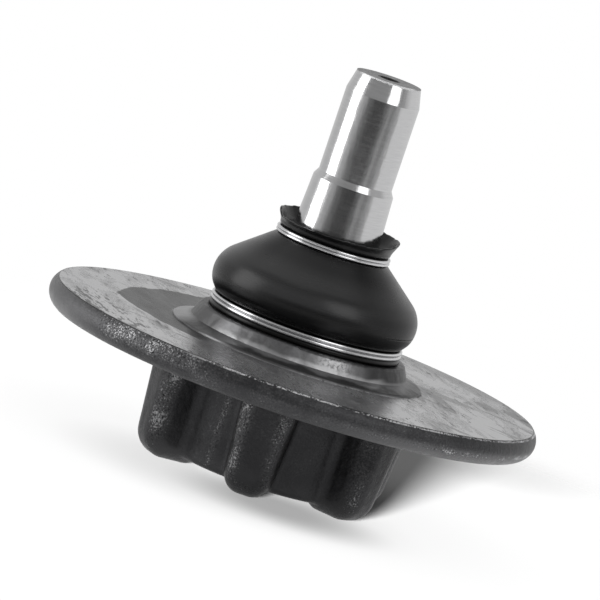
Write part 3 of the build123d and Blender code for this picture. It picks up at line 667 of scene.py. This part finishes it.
# Painted sheen: greyer on the shoulder.
shoulder = band(tree, height, *SHOULDER_HEIGHT)
patches = noise(tree, position, scale=0.13, detail=2.0)
black = layered(tree, mixed(tree, patches, DARK_RUBBER, LIGHT_RUBBER),
                (deep, DEEP_RUBBER), (belly_sheen, BELLY_SHEEN_RUBBER), (shoulder, SHOULDER_SHEEN_RUBBER))
plug(tree, black, shader["Base Color"])
streaks = ring_marks(tree, position, height, per_mm=0.5, round_axis=1.5, detail=2.0)
plug(tree, rising(tree, streaks, start=0.21, gain=0.16), shader["Roughness"])
crease = times(tree, band(tree, height, *CREASE_HEIGHT), band(tree, side, *CREASE_SIDE))
normal = bump(tree, noise(tree, position, scale=1.8, detail=4.0, roughness=0.6), SKIN_DEPTH)
plug(tree, bump(tree, minus(tree, 1.0, crease), CREASE_DEPTH, normal), shader["Normal"])
print("boot finish:", len(tree.nodes), "nodes")

# %% Wire finish
DARK_WIRE, LIGHT_WIRE = grey(0.55, 0.56), grey(0.76, 0.77)
wire_steel, tree, shader, position = finish("wire_steel", Metallic=1.0)
draw_marks = noise(tree, position, scale=2.5, detail=3.0)
plug(tree, mixed(tree, draw_marks, DARK_WIRE, LIGHT_WIRE), shader["Base Color"])
plug(tree, rising(tree, draw_marks, start=0.12, gain=0.16), shader["Roughness"])
print("wire finish:", len(tree.nodes), "nodes")

# %% Plastic, spring and cover finishes
CLEAN_PLASTIC, GREASE, GREASY_ABOVE = (0.78, 0.77, 0.72, 1), (0.42, 0.36, 0.24, 1), (0.48, 0.6)
DRY_ROUGHNESS, GREASE_SMOOTHS, GREASE_DEPTH, PRESSED_DEPTH = 0.5, 0.3, 0.08, 0.01
DARK_SPRING, LIGHT_SPRING = (0.10, 0.10, 0.11, 1), (0.22, 0.22, 0.24, 1)
DARK_ZINC, LIGHT_ZINC = (0.42, 0.43, 0.44, 1), (0.62, 0.62, 0.62, 1)
seat_plastic, tree, shader, position = finish("seat_plastic")
grease = noise(tree, position, scale=0.35, detail=4.0)
smeared = fade(tree, grease, *GREASY_ABOVE)
plug(tree, mixed(tree, smeared, CLEAN_PLASTIC, GREASE), shader["Base Color"])
plug(tree, minus(tree, DRY_ROUGHNESS, times(tree, smeared, GREASE_SMOOTHS)), shader["Roughness"])
plug(tree, bump(tree, grease, GREASE_DEPTH), shader["Normal"])

spring_steel, tree, shader, position = finish("spring_steel", Metallic=1.0)
radius = use(tree, around, Position=position)["Radius"]
press_rings = ring_marks(tree, position, radius, per_mm=3.0, round_axis=1.0, detail=2.0)
plug(tree, mixed(tree, press_rings, DARK_SPRING, LIGHT_SPRING), shader["Base Color"])
plug(tree, rising(tree, press_rings, start=0.3, gain=0.2), shader["Roughness"])

plated_steel, tree, shader, position = finish("plated_steel", Metallic=1.0)
radius = use(tree, around, Position=position)["Radius"]
press_rings = ring_marks(tree, position, radius, per_mm=1.6, round_axis=1.5, detail=3.0)
spangle = node(tree, "ShaderNodeTexVoronoi", Vector=position, Scale=0.5).outputs["Distance"]
plug(tree, mixed(tree, press_rings, DARK_ZINC, LIGHT_ZINC), shader["Base Color"])
plug(tree, rising(tree, spangle, start=0.25, gain=0.15), shader["Roughness"])
plug(tree, bump(tree, press_rings, PRESSED_DEPTH), shader["Normal"])
print("hidden finishes: greasy plastic, dark spring steel, zinc plate")

# %% Dress the solids that stay
dress = {"housing": housing_steel, "ball_stud": stud_steel, "upper_seat": seat_plastic,
         "lower_seat": seat_plastic, "disc_spring": spring_steel, "closing_cover": plated_steel}
for name, material in dress.items():
    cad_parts[name].material_slots[0].material = material
print("dressed:", ", ".join(dress))

# %% [markdown]
# ## The dust boot
#
# A dust boot is moulded in one piece: a foot under the lower clip, a round belly, a sloping
# shoulder, a neck under the upper clip and a thin lip that wipes the stud. Its section is drawn
# once as a closed line of corners, every corner is rounded by a short curve, and the line is
# swept round the axis. The lip isn't true: it is pulled down a little in front, as soft rims
# are, so the section's lip points move with the direction.

# %% Boot section
LONGEST_ROUNDING, CURVE_POINTS, SECTION_SPACING = 0.48, 7, 0.32     # share of a side, points, mm


def rounded(corners, rounding, steps):
    """A closed line through the corners (n, 2) with each corner P replaced by the curve
    (1-t)^2 A + 2 t (1-t) P + t^2 C, where A and C lie the corner's rounding back along its two
    sides, or 0.48 of a side where that is shorter."""
    before, after = np.roll(corners, 1, axis=0) - corners, np.roll(corners, -1, axis=0) - corners
    lengths = np.linalg.norm(before, axis=1), np.linalg.norm(after, axis=1)
    back_to = corners + before * (np.minimum(rounding / lengths[0], LONGEST_ROUNDING))[:, None]
    on_to = corners + after * (np.minimum(rounding / lengths[1], LONGEST_ROUNDING))[:, None]
    t = np.linspace(0, 1, steps)[None, :, None]
    curve = (1 - t) ** 2 * back_to[:, None] + 2 * t * (1 - t) * corners[:, None] + t ** 2 * on_to[:, None]
    return curve.reshape(-1, 2)


def evenly(line, spacing):
    """The closed line measured out again in steps of about that spacing."""
    closed = np.vstack([line, line[:1]])
    along = np.concatenate([[0], np.cumsum(np.linalg.norm(np.diff(closed, axis=0), axis=1))])
    stations = np.linspace(0, along[-1], int(along[-1] / spacing), endpoint=False)
    return np.stack([np.interp(stations, along, closed[:, axis]) for axis in (0, 1)], axis=1)


BOOT_CORNERS = np.array([
    # radius, height, rounding: the foot and the seat of the lower clip
    (21.05, 37.15, 0.15), (23.60, 37.15, 0.35), (23.60, 38.35, 0.45), (22.50, 38.40, 0.15),
    (22.50, 40.35, 0.15), (23.10, 40.60, 0.40),
    # the belly and the shoulder
    (24.90, 42.90, 2.20), (25.25, 46.60, 2.60), (23.80, 50.00, 2.20), (21.00, 52.30, 1.80),
    (13.75, 58.20, 0.30),
    # the neck under the upper clip
    (13.15, 58.45, 0.15), (13.15, 60.30, 0.15), (13.65, 60.50, 0.25),
    # the lip outside, over its edge and down to the wiping edge at the stud
    (13.70, 61.30, 0.80), (14.90, 63.90, 0.25), (14.35, 63.95, 0.25), (12.90, 61.60, 0.60),
    (12.00, 61.00, 0.40), (10.65, 61.00, 0.12), (10.84, 57.20, 0.12),
    # the inside
    (12.70, 57.10, 0.60), (21.40, 50.30, 2.20), (23.55, 46.40, 2.40), (23.00, 43.20, 1.80),
    (21.10, 41.00, 0.40), (21.05, 40.35, 0.10), (20.15, 40.35, 0.10), (20.15, 37.65, 0.10),
    (21.05, 37.65, 0.10)])
section = evenly(rounded(BOOT_CORNERS[:, :2], BOOT_CORNERS[:, 2], CURVE_POINTS), SECTION_SPACING)
print("boot section:", len(section), "points")

# %% Boot
BOOT_COLUMNS = 288
LIP_BASE, LIP_RISE, LIP_INSIDE = 61.3, 2.6, 11                  # heights, and its smallest radius, in mm
LIP_DROP, LIP_PINCH, LIP_LEAN, LEAN_TO = 1.25, 0.55, 0.42, radians(35)
LEFT_END, LEFT_FADE, RIGHT_END, RIGHT_FADE = radians(97), radians(27), radians(95), radians(50)
RAGGED_WAVES = ((0.05, 9, 0), (0.045, 23, 1.1), (0.03, 41, 0.4))   # mm, waves in a turn, start
RAGGED_OUTWARDS = 0.3


def s_curve(share):
    """0 below 0 and 1 above 1, with 3 t^2 - 2 t^3 between them."""
    t = np.clip(share, 0, 1)
    return t * t * (3 - 2 * t)


turn = np.arange(BOOT_COLUMNS) / BOOT_COLUMNS * 2 * pi
from_front = (turn + pi / 2 + pi) % (2 * pi) - pi               # 0 in front, + on the right
drop = np.where(from_front < 0, s_curve((LEFT_END + from_front) / LEFT_FADE),
                s_curve((RIGHT_END - from_front) / RIGHT_FADE))
lip_share = np.clip((section[:, 1] - LIP_BASE) / LIP_RISE, 0, 1) * (section[:, 0] > LIP_INSIDE)
sag = lip_share[:, None] * drop[None, :]
ragged = sum(size * np.sin(count * turn + start) for size, count, start in RAGGED_WAVES)
ragged = lip_share[:, None] * (ragged + LIP_LEAN * np.cos(turn - LEAN_TO))[None, :]
boot_radius = section[:, :1] - LIP_PINCH * sag + RAGGED_OUTWARDS * ragged
boot_height = section[:, 1:] - LIP_DROP * sag + ragged
boot_points = np.stack([boot_radius * np.cos(turn), boot_radius * np.sin(turn), boot_height], axis=-1)
boot_faces = quads_of(len(section), BOOT_COLUMNS, row_wraps=True)[:, ::-1]
boot = mesh_piece("boot", boot_points, boot_faces, boot_rubber)
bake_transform(boot)
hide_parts("dust_boot")

# %% [markdown]
# ## The wire clips
#
# Each clip is two turns of round wire, and a ring swept as a plain doughnut would miss what
# makes it a clip: the place where the wire climbs from the first turn to the second, and its
# two cut ends. The path runs round at one height, climbs by one wire in a short stretch, and
# runs round again. The climb and the ends share the same gap, so the turns lie side by side.

# %% Wire clips
WIRE_STATIONS, WIRE_SIDES, END_ROUNDING = 1921, 20, 0.25            # the last is a share of the wire


def wire_clip(name, body, node_name, centre_radius, first_height, wire, climb_from, climb):
    """Two turns of wire: the centre line's direction a runs from climb_from + climb over two
    turns less a climb, and its height is first_height, plus a wire times an s-curve that
    rises over the climb between the turns. The tube's radius shrinks to nothing at the ends."""
    start, turns = climb_from + climb, 4 * pi - climb
    stations = np.linspace(0, 1, WIRE_STATIONS)
    angle = start + turns * stations
    height_along = first_height + wire * s_curve((angle - (climb_from + 2 * pi)) / climb)
    to_end = np.minimum(stations, 1 - stations) * turns * centre_radius
    tube = wire / 2 * np.sqrt(1 - (1 - np.clip(to_end / (END_ROUNDING * wire), 0, 1)) ** 2)
    section_turn = np.linspace(0, 2 * pi, WIRE_SIDES, endpoint=False)
    out = centre_radius + tube[:, None] * np.cos(section_turn)
    lift = height_along[:, None] + tube[:, None] * np.sin(section_turn)
    points = np.stack([out * np.cos(angle)[:, None], out * np.sin(angle)[:, None], lift], axis=-1)
    inner, poles = points[1:-1], points[[0, -1], 0]
    rows, columns = inner.shape[:2]
    faces = [tuple(face) for face in quads_of(rows, columns, row_wraps=False)]
    step = np.arange(columns)
    last, end_row = rows * columns, (rows - 1) * columns
    faces += list(zip(np.full(columns, last), step, (step + 1) % columns))
    faces += list(zip(np.full(columns, last + 1), end_row + (step + 1) % columns, end_row + step))
    clip = mesh_piece(name, np.vstack([inner.reshape(-1, 3), poles]), faces, wire_steel)
    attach(clip, body)
    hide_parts(node_name)


wire_clip("lower_wire", "boot", "lower_clip", centre_radius=23.1, first_height=38.85, wire=0.98,
          climb_from=radians(70), climb=radians(26))
wire_clip("upper_wire", "boot_neck", "upper_clip", centre_radius=13.64, first_height=58.84, wire=0.77,
          climb_from=radians(110), climb=radians(32))

# %% [markdown]
# ## Floor and light
#
# The part stands on white paper that has no far edge. The floor is a disc that turns clear
# towards its edge, so the white behind it takes over without a line. The paper has a lamp of its
# own, low in front, whose soft shadow falls back and to the right, and it is printed a little
# darker under the part, where real paper gets less light from all round.

# %% Floor
FLOOR_RADIUS, FLOOR_CENTRE, FLOOR_FADE = 330, (0, -120), (315, 240)
FLOOR_RINGS, FLOOR_COLUMNS, FLOOR_HUB = 12, 96, 10
SHADE_CENTRE, SHADE_FADE, CONTACT_CENTRE, CONTACT_FADE = (-4, -20), (50, 18), (7, -27), (31, 6)
PAPER, SHADED_PAPER, CONTACT_PAPER = grey(0.64), grey(0.52), grey(0.28)
floor_paper, tree, shader, position = finish("floor_paper", Roughness=0.9, Specular_IOR_Level=0.0)


def distance_from(centre):
    """How far a place on the floor is from that centre (x, y), in millimetres."""
    moved = node(tree, "ShaderNodeMapping", Vector=position, Location=(-centre[0], -centre[1], 0)).outputs[0]
    return use(tree, around, Position=moved)["Radius"]


paper = layered(tree, PAPER, (fade(tree, distance_from(SHADE_CENTRE), *SHADE_FADE), SHADED_PAPER),
                (fade(tree, distance_from(CONTACT_CENTRE), *CONTACT_FADE), CONTACT_PAPER))
plug(tree, paper, shader["Base Color"])
plug(tree, fade(tree, distance_from(FLOOR_CENTRE), *FLOOR_FADE), shader["Alpha"])
floor_turn = np.arange(FLOOR_COLUMNS) / FLOOR_COLUMNS * 2 * pi
floor_rings = np.linspace(FLOOR_HUB, FLOOR_RADIUS, FLOOR_RINGS)[:, None]
floor_points = np.stack([floor_rings * np.cos(floor_turn) + FLOOR_CENTRE[0],
                         floor_rings * np.sin(floor_turn) + FLOOR_CENTRE[1],
                         np.zeros((FLOOR_RINGS, FLOOR_COLUMNS))], axis=-1)
floor_faces = [tuple(face) for face in quads_of(FLOOR_RINGS, FLOOR_COLUMNS, row_wraps=False)]
floor_faces.append(tuple(range(FLOOR_COLUMNS)))
floor = mesh_piece("floor", floor_points, floor_faces, floor_paper)

# %% [markdown]
# The walls of the room are in the world: white for whatever looks straight at them, and for
# metal a ring of greys, because steel only looks like steel with something dark to reflect. A
# broad dark stretch in front makes the dark core of every round piece, with a thin lighter
# stripe at its right, and pale walls at both sides make the bright flanks. Higher up the ring
# gives way to a grey wall and a ceiling. Soft surfaces see one even grey, so that the ring
# doesn't tint them.

# %% World
WALLS = [(-180, 0.72), (-104, 0.62), (-70, 0.7), (-52, 0.45), (-32, 0.14), (-16, 0.055), (10, 0.05),
         (24, 0.15), (32, 0.33), (42, 0.24), (60, 0.42), (70, 0.80), (125, 0.80), (180, 0.72)]
FRONT_WALL, LOW_CEILING, HIGH_CEILING = grey(0.33), grey(0.52), grey(0.24)
EVEN_LIGHT, WHITE = grey(0.20), grey(1)
FRONT_HALF, FRONT_WALL_FROM = (radians(105), radians(60)), (0.06, 0.24)
LOW_CEILING_FROM, HIGH_CEILING_FROM = (0.40, 0.55), (0.62, 0.84)
world = bpy.data.worlds.new("studio")
bpy.context.scene.world = world
world.use_nodes = True
tree = world.node_tree
look = node(tree, "ShaderNodeTexCoord").outputs["Generated"]
parts = node(tree, "ShaderNodeSeparateXYZ", Vector=look).outputs
heading = heading_of(tree, parts)
walls = node(tree, "ShaderNodeValToRGB")
ramp = walls.color_ramp
ramp.interpolation = "EASE"
while len(ramp.elements) < len(WALLS):
    ramp.elements.new(0.5)
for element, (degrees_round, tone) in zip(ramp.elements, WALLS):
    element.position = degrees_round / 360 + 0.5
    element.color = grey(tone)
plug(tree, plus(tree, maths(tree, "DIVIDE", heading, 2 * pi), 0.5), walls.inputs["Fac"])
above_dark = times(tree, fade(tree, maths(tree, "ABSOLUTE", heading), *FRONT_HALF),
                   fade(tree, parts["Z"], *FRONT_WALL_FROM))
rays = node(tree, "ShaderNodeLightPath").outputs
room = layered(tree, walls.outputs["Color"], (above_dark, FRONT_WALL),
               (fade(tree, parts["Z"], *LOW_CEILING_FROM), LOW_CEILING),
               (fade(tree, parts["Z"], *HIGH_CEILING_FROM), HIGH_CEILING),
               (rays["Is Diffuse Ray"], EVEN_LIGHT), (rays["Is Camera Ray"], WHITE))
background = tree.nodes["Background"]
plug(tree, room, background.inputs["Color"])
background.inputs["Strength"].default_value = 1.0
print("world:", len(WALLS), "tones round the room")

# %% [markdown]
# Three large lamps make the bright stripes in the steel and the soft shine on the rubber. Light
# linking keeps them off the paper, so they can be placed for their reflections alone, and it
# keeps the paper's own lamp off the part.

# %% Lamps
def lit_set(name, state):
    """A collection for light linking with the floor alone in it, taken in or left out."""
    made = bpy.data.collections.new(name)
    made.objects.link(floor)
    made.collection_objects[0].light_linking.link_state = state
    return made


def towards(heading, height_angle):
    """The unit vector to that heading and height (degrees, heading 0 towards the camera and + to
    the right)."""
    level = cos(radians(height_angle))
    return Vector((sin(radians(heading)) * level, -cos(radians(heading)) * level, sin(radians(height_angle))))


def place_lamp(name, kind, direction, distance, lit):
    """A lamp at that distance from the flange, facing it, that lights the objects of a collection."""
    lamp = bpy.data.lights.new(name, kind)
    lamp_object = bpy.data.objects.new(name, lamp)
    lamp_object.location = target + direction * distance
    lamp_object.rotation_euler = direction.to_track_quat("Z", "Y").to_euler()
    lamp_object.light_linking.receiver_collection = lit
    bpy.context.scene.collection.objects.link(lamp_object)
    return lamp


def softbox(name, heading, height_angle, width_angle, tall_angle, tone, distance=0.8):
    """A rectangular lamp that spans those angles and shines like a surface of that tone."""
    lamp = place_lamp(name, "AREA", towards(heading, height_angle), distance, all_but_floor)
    lamp.shape = "RECTANGLE"
    lamp.size = 2 * distance * tan(radians(width_angle / 2))
    lamp.size_y = 2 * distance * tan(radians(tall_angle / 2))
    lamp.energy = tone * pi * lamp.size * lamp.size_y
    print(f"{name}: {lamp.size:.2f} by {lamp.size_y:.2f} m")


PAPER_SOFTNESS, PAPER_LIGHT = radians(8.5), 46
floor_alone, all_but_floor = lit_set("floor alone", "INCLUDE"), lit_set("all but floor", "EXCLUDE")
softbox("left_softbox", heading=-84, height_angle=10, width_angle=34, tall_angle=50, tone=3.0)
softbox("right_lamp", heading=37, height_angle=35, width_angle=30, tall_angle=38, tone=2.0)
softbox("overhead", heading=-150, height_angle=75, width_angle=50, tall_angle=50, tone=0.6)
paper_lamp = place_lamp("paper_lamp", "SUN", towards(-8, 5.5), 2.0, floor_alone)
paper_lamp.angle, paper_lamp.energy = PAPER_SOFTNESS, PAPER_LIGHT

# %% [markdown]
# ## The picture's settings
#
# The plain view shows each tone as it was written.

# %% View
bpy.context.scene.view_settings.view_transform = "Standard"
